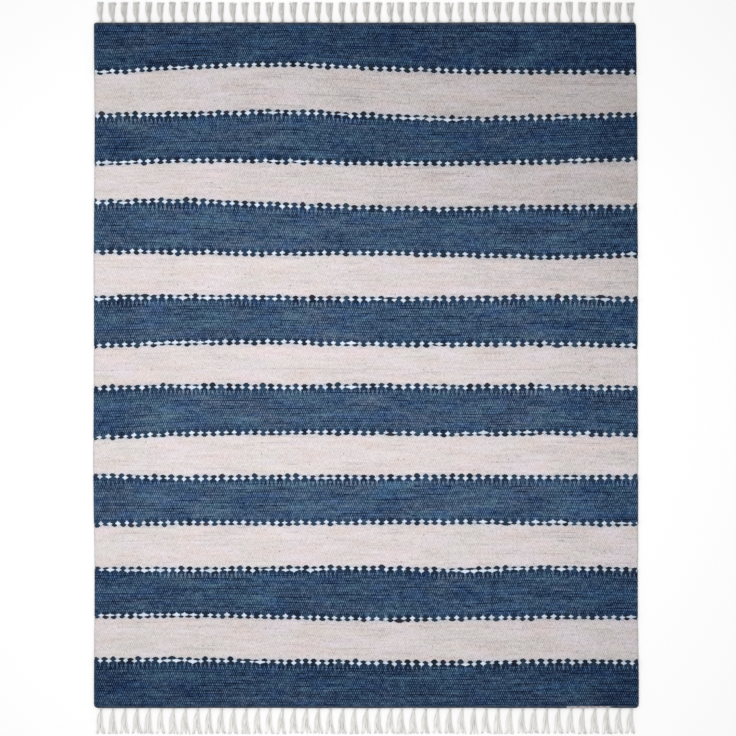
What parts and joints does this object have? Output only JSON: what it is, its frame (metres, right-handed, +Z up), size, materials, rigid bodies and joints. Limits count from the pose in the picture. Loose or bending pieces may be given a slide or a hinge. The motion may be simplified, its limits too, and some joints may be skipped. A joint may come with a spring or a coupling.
{
  "type": "rag rug",
  "caption": "Flat hand-woven rag rug in wavy denim blue and cream stripes, with zipper-like colour changes and knotted cotton tassels at both ends.",
  "frame": {"origin": "on the floor, under the middle of the whole rug, fringes included", "axes": "+Y along the rug's length, from the foot end with the longer fringe to the head end; +Z up out of the face; +X to the right, seen from above with the head end away"},
  "size_m": [1.228, 1.649, 0.0065],
  "materials": {
    "rag_weave_blue": "matte recycled denim rag weft, mottled from mid blue to navy",
    "rag_weave_cream": "matte off-white cotton rag weft",
    "cotton_warp": "matte undyed cotton twine"
  },
  "bodies": {
    "root": {"woven_field": "rag_weave_blue", "fringe_head": "cotton_warp", "fringe_foot": "cotton_warp"}
  },
  "joints": []
}
